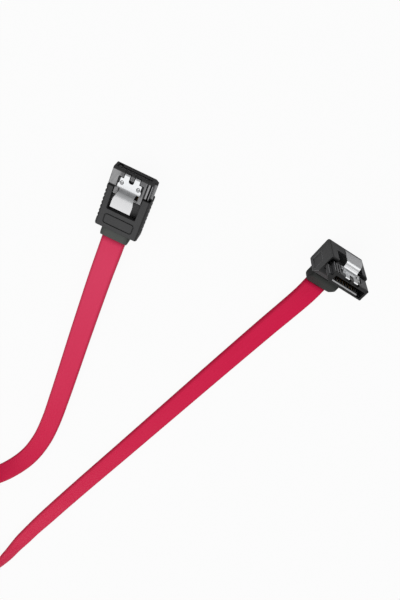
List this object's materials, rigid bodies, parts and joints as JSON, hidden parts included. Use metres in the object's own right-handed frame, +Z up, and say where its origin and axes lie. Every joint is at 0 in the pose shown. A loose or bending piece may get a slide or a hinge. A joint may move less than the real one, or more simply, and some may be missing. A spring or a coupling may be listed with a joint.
{
  "type": "sata data cable",
  "caption": "Flat red serial data cable with a straight latching plug on one end and a right-angle latching plug on the other, each with a sprung steel latch",
  "frame": {"origin": "centre of the right-angle plug's back face, which rests on the floor; its plug mouth points up", "axes": "+Z up, out of the right-angle plug's mouth; +Y from its cable side to its latch side; X across its width, the straight plug lies towards -X"},
  "size_m": [0.09, 0.3065, 0.0185],
  "materials": {
    "shell_black": "fine satin moulded black plastic",
    "insert_grey": "smooth dark grey moulded plastic",
    "boot_black": "matt soft moulded strain relief",
    "latch_steel": "bright stamped spring steel",
    "contact_gold": "gold-plated copper alloy",
    "jacket_red": "satin crimson cable jacket"
  },
  "bodies": {
    "cable_and_plugs": {"straight_shell": "shell_black", "straight_insert": "insert_grey", "straight_boot": "boot_black", "straight_contact_1": "contact_gold", "straight_contact_2": "contact_gold", "straight_contact_3": "contact_gold", "straight_contact_4": "contact_gold", "straight_contact_5": "contact_gold", "straight_contact_6": "contact_gold", "straight_contact_7": "contact_gold", "angled_shell": "shell_black", "angled_insert": "insert_grey", "angled_boot": "boot_black", "angled_contact_1": "contact_gold", "angled_contact_2": "contact_gold", "angled_contact_3": "contact_gold", "angled_contact_4": "contact_gold", "angled_contact_5": "contact_gold", "angled_contact_6": "contact_gold", "angled_contact_7": "contact_gold", "cable": "jacket_red"},
    "straight_latch_strip": {"straight_latch": "latch_steel"},
    "angled_latch_strip": {"angled_latch": "latch_steel"}
  },
  "joints": [
    {"name": "straight_latch_press", "type": "hinge", "parent": "cable_and_plugs", "child": "straight_latch_strip", "pos_m": [-0.07534, -0.01076, 0.00738], "axis": [0.964, 0.2014, 0.1736], "range_deg": [0, 4.5], "stiffness_Nm_per_rad": 0.2},
    {"name": "angled_latch_press", "type": "hinge", "parent": "cable_and_plugs", "child": "angled_latch_strip", "pos_m": [0.0004, 0.00405, 0.0174], "axis": [-1, 0, 0], "range_deg": [0, 4.5], "stiffness_Nm_per_rad": 0.2}
  ]
}
